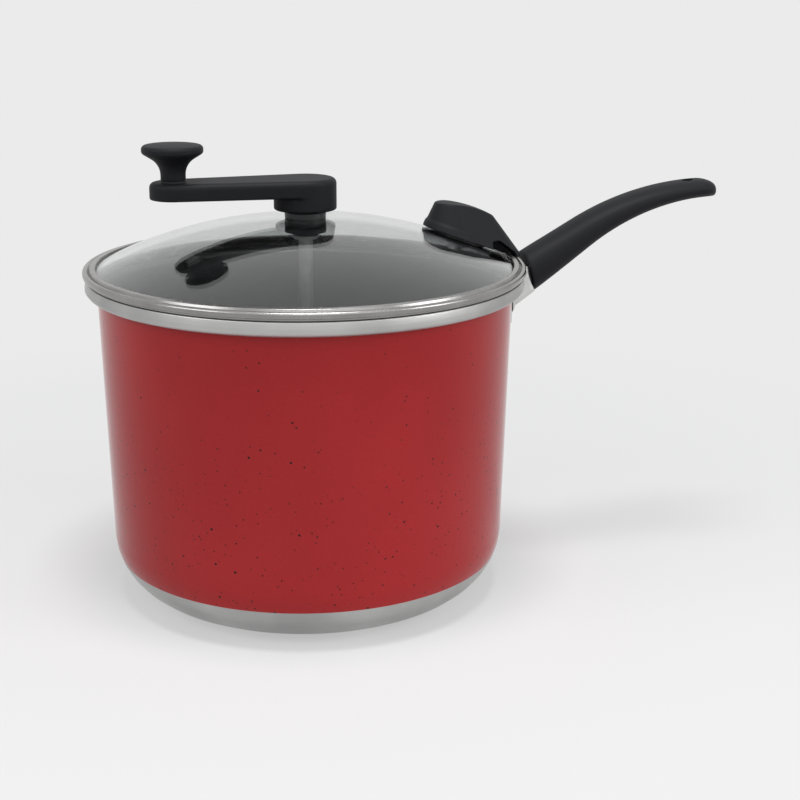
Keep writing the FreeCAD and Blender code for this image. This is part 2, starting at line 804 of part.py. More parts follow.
# ------------------------------------------------------------------ glass lid
# Tempered glass, slumped to a shallow dome, with a steel band rolled round its edge that
# seats on the pot's rim.


def glass_outline(sketch, bore):
    """Half section of the domed glass, from a bore to its edge."""
    under = "(dome_radius - glass_thickness)"
    outline(
        sketch,
        [
            (bore, dome_height(bore, "-glass_thickness")),
            ("glass_edge_radius", dome_height("glass_edge_radius", "-glass_thickness")),
            ("glass_edge_radius", dome_height("glass_edge_radius")),
            (bore, dome_height(bore)),
        ],
        {0: (under, "0", "dome_centre"), 2: ("dome_radius", "0", "dome_centre")},
    )


lid_glass = new_body("lid_glass")
glass = new_sketch(lid_glass)
glass_outline(glass, "glass_hole_radius")
turned(lid_glass, glass)


def dome_sketch(body, out):
    """A sketch square to the glass on the grip's screw line, at a distance out from the glass."""
    x, z = dome_place(out)
    return placed_sketch(body, "top", (x, "0", z), (0, 1, 0), "grip_polar")


glass_hole = dome_sketch(lid_glass, "glass_thickness")
disc(glass_hole, "grip_screw_hole_radius")
pocket(lid_glass, glass_hole, "3 * glass_thickness")

bead_top = f"({dome_height('band_lip_radius')} + band_bead_rise)"
bead_edge = "(band_lip_radius + band_bead_width)"
skirt_foot = "(band_bottom - band_skirt_drop)"
skirt_inside = "(band_skirt_radius - band_skirt_width)"
lid_rim_band = turned_body(
    "lid_rim_band",
    [
        ("band_lip_radius", f"{dome_height('band_lip_radius', '-glass_thickness')} - band_lip_drop"),
        (skirt_inside, f"{dome_height(skirt_inside, '-glass_thickness')} - band_lip_drop"),
        (skirt_inside, skirt_foot),
        ("band_skirt_radius", skirt_foot),
        ("band_skirt_radius", "band_bottom"),
        ("band_seat_radius", "band_bottom"),
        ("band_seat_radius", "band_roll_low"),
        ("band_outer_radius", "band_roll_low"),
        ("band_outer_radius", "band_roll_height"),
        ("band_roll_inner_radius", "band_roll_height"),
        ("band_roll_inner_radius", "band_groove_height"),
        ("band_groove_radius", "band_groove_height"),
        (bead_edge, bead_top),
        ("band_lip_radius", bead_top),
    ],
)
roll_edges = rings(
    ("band_outer_radius", "band_roll_low"),
    ("band_outer_radius", "band_roll_height"),
    ("band_roll_inner_radius", "band_roll_height"),
)
rounded(lid_rim_band, "band_roll_fillet", roll_edges)
rounded(lid_rim_band, "band_bead_fillet", rings((bead_edge, bead_top), ("band_lip_radius", bead_top)))
channel = new_sketch(lid_rim_band)
glass_outline(channel, "glass_hole_radius")
turned(lid_rim_band, channel, "Groove")

# ------------------------------------------------------------------ lid grip
# Black phenolic finger grip: a tapered block with a rounded nose towards the crank and a
# thin foot that follows the glass. Its tail steps over an arch onto the steel band.

lid_grip = new_body("lid_grip")
grip_skin = "grip_pad_thickness"
foot_top = f"({grip_skin} + grip_foot_height)"


def grip_loft(tail, top_tail, wider):
    """A tapered block from the band up, wider all round than the grip by a given amount."""
    rows = (
        ("grip_base_height", tail, "grip_nose_radius"),
        ("grip_top_height", top_tail, "grip_top_nose_radius"),
    )
    sections = []
    for height, (tail_centre, tail_radius), nose_radius in rows:
        sketch = new_sketch(lid_grip, "top", height)
        near = (tail_centre, f"({tail_radius} + {wider})")
        taper_outline(sketch, near, ("grip_nose_centre", f"({nose_radius} + {wider})"))
        sections.append(sketch)
    loft(lid_grip, sections, True)


def dome_groove(body, low, high, reach):
    """Cuts away everything between two spheres about the dome's centre. low "" cuts to the axis."""
    outer = f"(dome_radius + {high})"
    sketch = new_sketch(body)
    top = [(reach, dome_height(reach, high)), ("0", f"dome_centre + {outer}")]
    if low:
        inner = f"(dome_radius + {low})"
        corners = [("0", f"dome_centre + {inner}"), (reach, dome_height(reach, low))] + top
        outline(sketch, corners, {0: (inner, "0", "dome_centre"), 2: (outer, "0", "dome_centre")})
    else:
        corners = [("0", "rim_height - grip_tail_radius"), (reach, "rim_height - grip_tail_radius")] + top
        outline(sketch, corners, {2: (outer, "0", "dome_centre")})
    turned(body, sketch, "Groove")


foot_tail = ("grip_foot_centre", "grip_foot_radius")
grip_loft(foot_tail, ("grip_foot_centre", "grip_top_tail_radius"), "grip_foot_width")
above_foot = "grip_nose_radius + grip_top_height - grip_base_height"
dome_groove(lid_grip, foot_top, above_foot, "2 * grip_nose_centre")
grip_tail = ("grip_tail_centre", "grip_tail_radius")
grip_loft(grip_tail, ("grip_top_tail_centre", "grip_top_tail_radius"), "0")
dome_groove(lid_grip, "", grip_skin, "band_groove_radius")
bead_room = new_sketch(lid_grip)
bead_side = "band_lip_radius - grip_bead_clearance"
over_bead = f"{bead_top} + grip_bead_clearance"
outline(
    bead_room,
    [
        (bead_side, "rim_height"),
        ("band_roll_inner_radius", "rim_height"),
        ("band_roll_inner_radius", over_bead),
        (bead_side, over_bead),
    ],
)
turned(lid_grip, bead_room, "Groove")
crown = new_sketch(lid_grip)
crown_centre = "(grip_crown_height - grip_crown_radius)"
crown_ends = ("grip_nose_centre - grip_nose_radius", "grip_tail_centre + grip_tail_radius")
crown_points = []
for place in crown_ends:
    drop = f"sqrt(grip_crown_radius ^ 2 - ({place} - grip_crown_middle) ^ 2)"
    crown_points.append((place, f"{crown_centre} + {drop}"))
above_crown = [(place, "2 * grip_top_height") for place in reversed(crown_ends)]
outline(crown, crown_points + above_crown, {0: ("grip_crown_radius", "grip_crown_middle", crown_centre)})
pocket(lid_grip, crown, "4 * grip_nose_radius", Midplane=True)
for place, towards_back in (("grip_web_width / 2", True), ("-grip_web_width / 2", False)):
    arch = new_sketch(lid_grip, "side", place)
    outline(
        arch,
        [
            ("grip_arch_start", "rim_height"),
            ("grip_arch_end", "rim_height"),
            ("grip_arch_end", "grip_arch_foot"),
            ("grip_arch_bend", "grip_arch_height"),
            ("grip_arch_start", "grip_arch_height"),
        ],
    )
    pocket(lid_grip, arch, "grip_nose_radius", Reversed=towards_back)
tapped = dome_sketch(lid_grip, "grip_screw_reach")
disc(tapped, "grip_screw_radius + thread_clearance")
pocket(lid_grip, tapped, "grip_screw_reach")


def dome_disc(label, bore, radius, base, thickness):
    """A flat ring square to the glass on the grip's screw line."""
    x, z = dome_place(base)
    return washer(label, bore, radius, thickness, shift=x, lift=z, lean="grip_polar")


under_glass = "(glass_thickness + grip_seal_thickness)"
lid_grip_pad = new_body("lid_grip_pad")
dome_pad = dome_sketch(lid_grip_pad, "-glass_thickness")
disc(dome_pad, "grip_pad_radius")
disc(dome_pad, "grip_screw_hole_radius")
pad(lid_grip_pad, dome_pad, "3 * glass_thickness")
dome_groove(lid_grip_pad, "", "0", "2 * grip_nose_centre")
dome_groove(lid_grip_pad, "grip_pad_thickness", "4 * glass_thickness", "2 * grip_nose_centre")
lid_grip_seal = new_body("lid_grip_seal")
seal_disc = dome_sketch(lid_grip_seal, f"-{under_glass}")
disc(seal_disc, "grip_washer_radius")
disc(seal_disc, "grip_screw_radius + thread_clearance")
pad(lid_grip_seal, seal_disc, "glass_thickness")
dome_groove(lid_grip_seal, "-glass_thickness", "glass_thickness", "2 * grip_nose_centre")
screw_bore = "grip_screw_radius + thread_clearance"
washer_seat = f"-{under_glass} - grip_washer_thickness"
dome_disc("lid_grip_washer", screw_bore, "grip_washer_radius", washer_seat, "grip_washer_thickness")
screw_x, screw_z = dome_place(washer_seat)
screw(
    "lid_grip_screw",
    "grip_screw_radius",
    f"{under_glass} + grip_washer_thickness + grip_screw_reach - small_edge_fillet",
    "grip_screw_head_radius",
    "grip_screw_head_height",
    shift=screw_x,
    lift=screw_z,
    lean="grip_polar",
)

# ------------------------------------------------------------------ bushing in the lid
# A steel bushing clamps the glass between two thin gaskets with a round nut from below.

shaft_bushing = turned_body(
    "shaft_bushing",
    [
        ("bushing_bore", "bushing_foot"),
        ("bushing_tube_radius", "bushing_foot"),
        ("bushing_tube_radius", "bushing_base"),
        ("bushing_flange_radius", "bushing_base"),
        ("bushing_flange_radius", "bushing_top"),
        ("bushing_bore", "bushing_top"),
    ],
)
rounded(shaft_bushing, "small_edge_fillet", ring("bushing_flange_radius", "bushing_top"))
gasket_bore = "(bushing_tube_radius + thread_clearance)"
turned_body(
    "bushing_gasket_upper",
    [
        (gasket_bore, dome_height(gasket_bore)),
        ("gasket_radius", dome_height("gasket_radius")),
        ("gasket_radius", "bushing_base"),
        (gasket_bore, "bushing_base"),
    ],
    {0: ("dome_radius", "0", "dome_centre")},
)
inner_dome = "(dome_radius - glass_thickness)"
nut_top = "(glass_apex_height - glass_thickness - gasket_thickness)"
turned_body(
    "bushing_gasket_lower",
    [
        (gasket_bore, nut_top),
        ("gasket_radius", nut_top),
        ("gasket_radius", dome_height("gasket_radius", "-glass_thickness")),
        (gasket_bore, dome_height(gasket_bore, "-glass_thickness")),
    ],
    {2: (inner_dome, "0", "dome_centre")},
)
nut_base = f"{nut_top} - bushing_nut_height"
bushing_nut = washer(
    "bushing_nut", gasket_bore, "bushing_flange_radius", "bushing_nut_height", lift=nut_base
)
rounded(bushing_nut, "small_edge_fillet", ring("bushing_flange_radius", "0"))

# ------------------------------------------------------------------ crank
# Black phenolic arm moulded over a brass hexagon insert, which carries the steel shaft. A
# thrust washer above and a clip below keep the shaft in the bushing.

washer(
    "thrust_washer",
    "bushing_bore",
    "thrust_washer_radius",
    "thrust_washer_thickness - end_play / 2",
    lift="bushing_top + end_play / 2",
)
crank_arm = new_body("crank_arm")
drum = new_sketch(crank_arm, "top", "hub_base")
disc(drum, "hub_radius")
pad(crank_arm, drum, "hub_height + crank_arm_thickness / 2")
arm = new_sketch(crank_arm, "top", "arm_base")
taper_outline(arm, ("0", "hub_radius"), ("-crank_throw", "crank_tip_radius"))
pad(crank_arm, arm, "crank_arm_thickness")
rounded(crank_arm, "crank_edge_fillet", level("arm_top"))
rounded(crank_arm, "crank_low_fillet", ring("hub_radius", "hub_base"))
insert_seat = new_sketch(crank_arm, "top", "hub_base")
hexagon(insert_seat, "insert_flats")
pocket(crank_arm, insert_seat, "insert_height", Reversed=True)
stud_line = "-crank_throw"
stud_seat = new_sketch(crank_arm, "top", "arm_base")
hexagon(stud_seat, "stud_nut_flats + 2 * stud_nut_clearance", stud_line)
pocket(crank_arm, stud_seat, "stud_nut_recess", Reversed=True)
stud_hole = new_sketch(crank_arm, "top", "arm_top")
disc(stud_hole, "stud_radius + thread_clearance", stud_line)
pocket(crank_arm, stud_hole, "crank_arm_thickness")

hub_insert = new_body("hub_insert", lift="hub_base")
insert = new_sketch(hub_insert, "top")
hexagon(insert, "insert_flats")
pad(hub_insert, insert, "insert_height")
insert_bore = new_sketch(hub_insert, "top")
disc(insert_bore, "shaft_radius")
pocket(hub_insert, insert_bore, "shaft_engagement", Reversed=True)

shaft = [("0", "shaft_low_height"), ("shaft_radius", "shaft_low_height")]
shaft += [("shaft_radius", "clip_base"), ("clip_groove_radius", "clip_base")]
shaft += [("clip_groove_radius", "washer_base"), ("shaft_radius", "washer_base")]
shaft += [("shaft_radius", "shaft_top"), ("0", "shaft_top")]
crank_shaft = turned_body("crank_shaft", shaft)
rounded(crank_shaft, "small_edge_fillet", ring("shaft_radius", "shaft_low_height"), "Chamfer")
washer(
    "lower_washer", "shaft_radius", "lower_washer_radius", "lower_washer_thickness", lift="washer_base"
)
shaft_clip = washer("shaft_clip", "clip_groove_radius", "clip_radius", "clip_thickness", lift="clip_base")
mouth = new_sketch(shaft_clip, "top")
outline(
    mouth,
    [
        ("-clip_opening / 2", "0"),
        ("clip_opening / 2", "0"),
        ("clip_opening / 2", "2 * clip_radius"),
        ("-clip_opening / 2", "2 * clip_radius"),
    ],
)
pocket(shaft_clip, mouth, "clip_thickness", Reversed=True)

# ------------------------------------------------------------------ stirrer
# A short steel hub, held on the shaft by a set screw, carries one wire that sweeps the floor
# in an S so that it pushes kernels from the middle to the wall and back.

stirrer_base = "(base_thickness + stirrer_floor_gap)"
hub_low = "shaft_low_height"
stirrer_hub = turned_body(
    "stirrer_hub",
    [
        ("0", stirrer_base),
        ("stirrer_hub_radius", stirrer_base),
        ("stirrer_hub_radius", f"{stirrer_base} + stirrer_hub_height"),
        ("shaft_radius", f"{stirrer_base} + stirrer_hub_height"),
        ("shaft_radius", hub_low),
        ("0", hub_low),
    ],
)
hub_edges = rings(
    ("stirrer_hub_radius", stirrer_base), ("stirrer_hub_radius", f"{stirrer_base} + stirrer_hub_height")
)
rounded(stirrer_hub, "small_edge_fillet", hub_edges)
cross_hole = placed_sketch(stirrer_hub, "across", ("0", "stirrer_wire_height", "0"), (0, 1, 0), "0")
disc(cross_hole, "stirrer_wire_radius")
pocket(stirrer_hub, cross_hole, "4 * stirrer_hub_radius", Midplane=True)
side_hole = placed_sketch(stirrer_hub, "side", ("0", "set_screw_height", "0"), (0, 1, 0), "0")
disc(side_hole, "set_screw_radius")
pocket(stirrer_hub, side_hole, "2 * stirrer_hub_radius")

set_screw_reach = "(stirrer_hub_radius - shaft_radius)"
stirrer_set_screw = new_body("stirrer_set_screw")
set_face = placed_sketch(
    stirrer_set_screw, "side", ("0", "set_screw_height", "-stirrer_hub_radius"), (0, 1, 0), "0"
)
disc(set_face, "set_screw_radius")
pad(stirrer_set_screw, set_face, set_screw_reach)
set_recess = placed_sketch(
    stirrer_set_screw, "side", ("0", "set_screw_height", "-stirrer_hub_radius"), (0, 1, 0), "0"
)
hexagon(set_recess, "screw_socket_flats")
pocket(stirrer_set_screw, set_recess, "screw_socket_depth", Reversed=True)

stirrer_wire = new_body("stirrer_wire")
path = new_sketch(stirrer_wire, "top", "stirrer_wire_height")
straight = number("stirrer_straight")
bend_radius = number("stirrer_bend_radius")
line = path.addGeometry(Part.LineSegment(Vector(), Vector(straight, 0, 0)), False)
circle = Part.Circle(Vector(straight, bend_radius, 0), Vector(0, 0, 1), bend_radius)
bend_ends = (-math.pi / 2, -math.pi / 2 + math.radians(number("stirrer_bend_angle")))
bend = path.addGeometry(Part.ArcOfCircle(circle, *bend_ends), False)
path.addConstraint(Sketcher.Constraint("Tangent", line, 2, bend, 1))
fix(path, line, 1, "0", "0")
fix(path, line, 2, "stirrer_straight", "0")
bend_end_x = "stirrer_straight + stirrer_bend_radius * sin(stirrer_bend_angle)"
bend_end_y = "stirrer_bend_radius * (1 - cos(stirrer_bend_angle))"
fix(path, bend, 2, bend_end_x, bend_end_y)
doc.recompute()
wire_end = placed_sketch(stirrer_wire, "across", ("0", "stirrer_wire_height", "0"), (0, 1, 0), "0")
disc(wire_end, "stirrer_wire_radius")
half_wire = feature(stirrer_wire, "AdditivePipe", wire_end, Spine=(path, ["Edge1", "Edge2"]))
path.Visibility = False
whole_wire = stirrer_wire.newObject("PartDesign::PolarPattern", "stirrer_wire_pattern")
upright = next(item for item in stirrer_wire.Origin.OriginFeatures if item.Role == "Z_Axis")
whole_wire.Originals = [half_wire]
whole_wire.Axis = (upright, [""])
whole_wire.Angle = 360
whole_wire.Occurrences = 2
stirrer_wire.Tip = whole_wire

# ------------------------------------------------------------------ knob
# A black phenolic mushroom knob that spins on a shouldered steel stud. A wire ring in the
# knob's bore snaps into the stud's groove.

nut_base = "(arm_base + stud_nut_recess - stud_nut_height)"
ring_height = "(knob_base + snap_ring_height)"
stud_top = "(knob_base + stud_rise)"
groove_low = f"{ring_height} - snap_groove_half_height"
groove_high = f"{ring_height} + snap_groove_half_height"
groove_radius = "stud_shoulder_radius - snap_groove_depth"
knob_stud = turned_body(
    "knob_stud",
    [
        ("0", nut_base),
        ("stud_radius", nut_base),
        ("stud_radius", "arm_top"),
        ("stud_shoulder_radius", "arm_top"),
        ("stud_shoulder_radius", groove_low),
        (groove_radius, groove_low),
        (groove_radius, groove_high),
        ("stud_shoulder_radius", groove_high),
        ("stud_shoulder_radius", stud_top),
        ("0", stud_top),
    ],
    shift=stud_line,
)
rounded(knob_stud, "small_edge_fillet", ring("stud_shoulder_radius", stud_top), "Chamfer")
knob_stud_nut = new_body("knob_stud_nut", lift=nut_base, shift=stud_line)
stud_nut = new_sketch(knob_stud_nut, "top")
hexagon(stud_nut, "stud_nut_flats")
disc(stud_nut, "stud_radius + thread_clearance")
pad(knob_stud_nut, stud_nut, "stud_nut_height")
knob_bore = "(stud_shoulder_radius + running_clearance)"
washer(
    "knob_washer",
    knob_bore,
    "knob_washer_radius",
    "knob_washer_thickness",
    shift=stud_line,
    lift="arm_top",
)
crown_rise = "(knob_height - knob_edge_top)"
knob_dome = f"((knob_radius ^ 2 + {crown_rise} ^ 2) / (2 * {crown_rise}))"
knob_bore_top = "stud_rise + knob_bore_spare"
ring_low = "snap_ring_height - snap_ring_wire"
ring_high = "snap_ring_height + snap_ring_wire"
ring_seat = f"{knob_bore} + snap_ring_wire"
knob = turned_body(
    "knob",
    [
        (knob_bore, "0"),
        ("knob_neck_radius", "0"),
        ("knob_neck_radius", "knob_flare_height"),
        ("knob_radius", "knob_edge_low"),
        ("knob_radius", "knob_edge_top"),
        ("0", "knob_height"),
        ("0", knob_bore_top),
        (knob_bore, knob_bore_top),
        (knob_bore, ring_high),
        (ring_seat, ring_high),
        (ring_seat, ring_low),
        (knob_bore, ring_low),
    ],
    {4: (knob_dome, "0", f"knob_height - {knob_dome}")},
    shift=stud_line,
    lift="knob_base",
)
rounded(knob, "knob_flare_fillet", ring("knob_neck_radius", "knob_flare_height"))
knob_edges = rings(("knob_radius", "knob_edge_low"), ("knob_radius", "knob_edge_top"))
rounded(knob, "knob_edge_fillet", knob_edges)
knob_snap_ring = new_body("knob_snap_ring", shift=stud_line, lift=ring_height)
ring_wire = new_sketch(knob_snap_ring)
disc(ring_wire, "snap_ring_wire", knob_bore)
turned(knob_snap_ring, ring_wire)

# ------------------------------------------------------------------ check and write

doc.recompute()
for item in doc.Objects:
    if "Invalid" in item.State or "Error" in item.State:
        raise ValueError(f"{item.Name} is {item.State}")
os.makedirs("parts", exist_ok=True)
for body in NODES:
    if body.Shape.isNull() or not body.Shape.isValid():
        raise ValueError(f"{body.Label} has no valid shape")
for body in NODES:
    body.Shape.exportStep(os.path.join("parts", f"{body.Label}.step"))
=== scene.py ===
import math

import bmesh
import bpy
from mathutils import Matrix, Vector


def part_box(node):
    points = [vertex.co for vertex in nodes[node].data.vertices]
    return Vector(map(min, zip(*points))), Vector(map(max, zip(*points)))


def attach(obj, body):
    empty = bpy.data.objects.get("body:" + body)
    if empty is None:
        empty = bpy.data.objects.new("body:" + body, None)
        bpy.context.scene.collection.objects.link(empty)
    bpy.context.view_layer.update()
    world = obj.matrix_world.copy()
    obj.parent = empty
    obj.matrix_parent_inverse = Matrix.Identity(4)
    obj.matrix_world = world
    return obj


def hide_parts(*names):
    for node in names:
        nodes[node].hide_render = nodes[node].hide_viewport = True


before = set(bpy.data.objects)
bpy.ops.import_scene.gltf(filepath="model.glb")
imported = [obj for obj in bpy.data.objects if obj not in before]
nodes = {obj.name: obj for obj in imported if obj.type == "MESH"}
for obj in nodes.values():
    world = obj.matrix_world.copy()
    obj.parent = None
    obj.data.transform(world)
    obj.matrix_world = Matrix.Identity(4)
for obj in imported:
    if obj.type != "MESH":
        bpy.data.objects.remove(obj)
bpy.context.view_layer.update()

# ---------------------------------------------------------------- studio
# A plain pale table and room. A soft box stands at each side, a wide one in front, and a small
# one hangs above. The camera is higher than the rim and looks down on the lid.

MM = 0.001
BACKDROP = (0.83, 0.83, 0.83, 1.0)
camera_turn = math.radians(12.0)
camera_yaw = 0.061
camera_pitch = 0.284
camera_roll = 0.005
camera_away = 857.9 * MM
camera_height = 356.4 * MM
lens_mm = 70.9

scene = bpy.context.scene
scene.view_settings.view_transform = "Standard"
lens = bpy.data.cameras.new("camera")
lens.lens = lens_mm
lens.sensor_width = 36.0
lens.clip_start = 0.01
camera = bpy.data.objects.new("camera", lens)
scene.collection.objects.link(camera)
scene.camera = camera
camera.matrix_world = (
    Matrix.Rotation(-camera_turn, 4, "Z")
    @ Matrix.Translation((0, -camera_away, camera_height))
    @ Matrix.Rotation(-camera_yaw, 4, "Z")
    @ Matrix.Rotation(math.pi / 2 - camera_pitch, 4, "X")
    @ Matrix.Rotation(camera_roll, 4, "Z")
)


class Wire:
    """An output socket. Sums on it, with numbers or other wires, add Math nodes."""

    def __init__(self, look, socket):
        self.look = look
        self.socket = socket

    def math(self, operation, *values):
        return self.look.make("ShaderNodeMath", {"operation": operation}, values)

    def __add__(self, other):
        return self.math("ADD", self, other)

    def __radd__(self, other):
        return self.math("ADD", other, self)

    def __sub__(self, other):
        return self.math("SUBTRACT", self, other)

    def __rsub__(self, other):
        return self.math("SUBTRACT", other, self)

    def __mul__(self, other):
        return self.math("MULTIPLY", self, other)

    def __rmul__(self, other):
        return self.math("MULTIPLY", other, self)

    def __pow__(self, other):
        return self.math("POWER", self, other)

    def __lt__(self, other):
        return self.math("LESS_THAN", self, other)

    def __gt__(self, other):
        return self.math("GREATER_THAN", self, other)


class Look:
    """A material being put together: a Principled shader and the nodes that feed it."""

    def __init__(self, name, plain=None):
        self.material = bpy.data.materials.new(name)
        self.material.use_nodes = True
        self.tree = self.material.node_tree
        self.tree.nodes.clear()
        self.output = self.tree.nodes.new("ShaderNodeOutputMaterial")
        self.shader = self.tree.nodes.new("ShaderNodeBsdfPrincipled")
        self.tree.links.new(self.shader.outputs[0], self.output.inputs["Surface"])
        for socket, value in (plain or {}).items():
            self.shader.inputs[socket].default_value = value

    def make(self, kind, settings=None, values=(), output=0):
        """A node of that kind: settings first, then the values or wires of its sockets."""
        node = self.tree.nodes.new(kind)
        for name, value in (settings or {}).items():
            setattr(node, name, value)
        pairs = values.items() if isinstance(values, dict) else enumerate(values)
        for socket, value in pairs:
            if isinstance(value, Wire):
                self.tree.links.new(value.socket, node.inputs[socket])
            else:
                node.inputs[socket].default_value = value
        return Wire(self, node.outputs[output])

    def feed(self, socket, wire):
        self.tree.links.new(wire.socket, self.shader.inputs[socket])

    def place(self):
        """Where a point of the piece is, in metres, in the object's own frame."""
        return self.make("ShaderNodeTexCoord", output="Object")

    def parts(self, vector):
        split = self.make("ShaderNodeSeparateXYZ", values=(vector,))
        outputs = split.socket.node.outputs
        return [Wire(self, outputs[axis]) for axis in "XYZ"]

    def joined(self, x, y, z):
        return self.make("ShaderNodeCombineXYZ", values=(x, y, z))

    def noise(self, vector, scale, detail=2.0, roughness=0.5):
        values = {"Vector": vector, "Scale": scale, "Detail": detail, "Roughness": roughness}
        return self.make("ShaderNodeTexNoise", values=values)

    def ramp(self, wire, low, high):
        """0 below low, 1 above high, smooth between."""
        settings = {"interpolation_type": "SMOOTHSTEP"}
        return self.make("ShaderNodeMapRange", settings, (wire, low, high, 0.0, 1.0))

    def mix(self, mask, first, second):
        """Colour first where the mask is 0 and second where it is 1."""
        settings = {"data_type": "RGBA"}
        return self.make("ShaderNodeMix", settings, {0: mask, 6: first, 7: second}, output=2)

    def bump(self, height, distance, strength=1.0):
        values = {"Strength": strength, "Distance": distance, "Height": height}
        self.feed("Normal", self.make("ShaderNodeBump", values=values))


def sees_background(look):
    """1 for what is seen directly, mirrored in metal or gloss, or through the glass."""
    kinds = ("Is Camera Ray", "Is Glossy Ray", "Is Transmission Ray")
    rays = [look.make("ShaderNodeLightPath", output=kind) for kind in kinds]
    camera_ray, glossy_ray, glass_ray = rays
    return camera_ray.math("MAXIMUM", camera_ray.math("MAXIMUM", camera_ray, glossy_ray), glass_ray)


# The table is one plain pale sheet. It fades into the pale backdrop away from the pan.
FLOOR = (0.66, 0.66, 0.66, 1.0)
table_reach = 6.0
fade_start = 0.25
fade_end = 0.62
near_share = 0.5
table_look = Look("table", {"Base Color": FLOOR, "Roughness": 0.9, "Specular IOR Level": 0.1})
spot = table_look.place()
glow = table_look.make("ShaderNodeEmission", values=(BACKDROP, 1.0))
far_out = table_look.make("ShaderNodeVectorMath", {"operation": "LENGTH"}, (spot,), output="Value")
fade = near_share + table_look.ramp(far_out, fade_start, fade_end) * (1.0 - near_share)
even = sees_background(table_look) * fade
table_mix = table_look.make(
    "ShaderNodeMixShader", values=(even, Wire(table_look, table_look.shader.outputs[0]), glow)
)
table_look.tree.links.new(table_mix.socket, table_look.output.inputs["Surface"])

table_mesh = bpy.data.meshes.new("table")
table_grid = bmesh.new()
bmesh.ops.create_grid(table_grid, x_segments=8, y_segments=8, size=table_reach)
table_grid.to_mesh(table_mesh)
table_grid.free()
table_mesh.materials.append(table_look.material)
table = bpy.data.objects.new("table", table_mesh)
scene.collection.objects.link(table)

# The room: a pale backdrop, also where metal, gloss and glass show it, and soft even light.
world = bpy.data.worlds.new("room")
scene.world = world
world.use_nodes = True
room = Look.__new__(Look)
room.tree = world.node_tree
room.tree.nodes.clear()
even_light = {"Color": (0.96, 0.98, 1.0, 1.0), "Strength": 0.4}
room_light = room.make("ShaderNodeBackground", values=even_light)
backdrop = room.make("ShaderNodeBackground", values={"Color": BACKDROP, "Strength": 1.0})
room_mix = room.make("ShaderNodeMixShader", values=(sees_background(room), room_light, backdrop))
room_output = room.tree.nodes.new("ShaderNodeOutputWorld")
room.tree.links.new(room_mix.socket, room_output.inputs["Surface"])


def light_panel(name, place, aim, width, height, watts):
    """A rectangular soft box that faces a point."""
    lamp = bpy.data.lights.new(name, "AREA")
    lamp.shape = "RECTANGLE"
    lamp.size = width
    lamp.size_y = height
    lamp.energy = watts
    panel = bpy.data.objects.new(name, lamp)
    scene.collection.objects.link(panel)
    panel.location = place
    panel.rotation_euler = (Vector(aim) - Vector(place)).to_track_quat("-Z", "Y").to_euler()


light_panel("panel_left", (-1.35, -0.45, 1.05), (0, 0, 0.12), 0.8, 0.8, 7.0)
light_panel("panel_right", (1.2, -0.9, 0.75), (0, 0, 0.1), 0.6, 0.8, 7.5)
light_panel("panel_front", (-0.15, -1.25, 1.0), (0, 0, 0.1), 1.5, 1.1, 5.0)
light_panel("key", (-0.035, -0.30, 1.70), (0.1, 0, 0.1), 0.5, 0.5, 20.0)

# ---------------------------------------------------------------- pot shell
# Deep-drawn aluminium sheet, 1.8 mm at the wall. Red enamel is sprayed on the outside between
# the rim and the base corner, the rim and base are left bare, and the inside is non-stick.

wall_base_radius = 109.4
wall_top_radius = 114.0
wall_thickness = 1.8
shoulder_height = 171.7
rim_radius = 120.5
rim_height = 180.0
rim_bend = 4.0
rim_lean = 0.6
rim_lean_drop = 3.6
rim_lean_round = 25.0
base_thickness = 3.0
base_corner = 35.0
coat_low = 23.0
coat_high = 171.4


def rounded_outline(corners, steps=8):
    """Points of an outline whose corners (radius, height, rounding) are rounded, in mm."""
    points = []
    for index, (across, up, rounding) in enumerate(corners):
        here = Vector((across, up))
        if not rounding:
            points.append(here)
            continue
        before = (Vector(corners[index - 1][:2]) - here).normalized()
        after = (Vector(corners[(index + 1) % len(corners)][:2]) - here).normalized()
        half = before.angle(after) / 2
        centre = here + (before + after).normalized() * rounding / math.sin(half)
        start = here + before * rounding / math.tan(half) - centre
        stop = here + after * rounding / math.tan(half) - centre
        sweep = math.atan2(start.cross(stop), start.dot(stop))
        for step in range(steps + 1):
            points.append(centre + Matrix.Rotation(sweep * step / steps, 2) @ start)
    return points


def piece(name, body, points, faces, finishes, slots=None, sharp=40.0):
    """A mesh in mm made into a smooth piece that rides on a body."""
    mesh = bpy.data.meshes.new(name)
    mesh.from_pydata([Vector(point) * MM for point in points], [], faces)
    for finish in finishes:
        mesh.materials.append(finish.material)
    if slots:
        mesh.polygons.foreach_set("material_index", slots)
    mesh.polygons.foreach_set("use_smooth", [True] * len(mesh.polygons))
    mesh.validate()
    mesh.set_sharp_from_angle(angle=math.radians(sharp))
    made = bpy.data.objects.new(name, mesh)
    scene.collection.objects.link(made)
    flat_parts = made.modifiers.new("flat_parts_stay_flat", "WEIGHTED_NORMAL")
    flat_parts.keep_sharp = True
    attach(made, body)
    return made


def lathe(name, body, outline, finishes, choose=None, closed=True, turns=180, middle=(0.0, 0.0)):
    """An outline of (radius, height) points turned about an upright axis, in mm."""
    points = []
    rings = []
    for across, up in outline:
        if across < 1e-6:
            rings.append([len(points)] * turns)
            points.append((middle[0], middle[1], up))
            continue
        rings.append(range(len(points), len(points) + turns))
        for turn in range(turns):
            angle = math.tau * turn / turns
            x = middle[0] + across * math.cos(angle)
            y = middle[1] + across * math.sin(angle)
            points.append((x, y, up))
    faces = []
    slots = []
    count = len(outline)
    for index in range(count if closed else count - 1):
        low, high = rings[index], rings[(index + 1) % count]
        slot = choose(index, (outline[index] + outline[(index + 1) % count]) / 2) if choose else 0
        for turn in range(turns):
            after = (turn + 1) % turns
            loop = [low[turn], low[after], high[after], high[turn]]
            corners = [corner for place, corner in enumerate(loop) if corner not in loop[:place]]
            faces.append(corners)
            slots.append(slot)
    return piece(name, body, points, faces, finishes, slots)


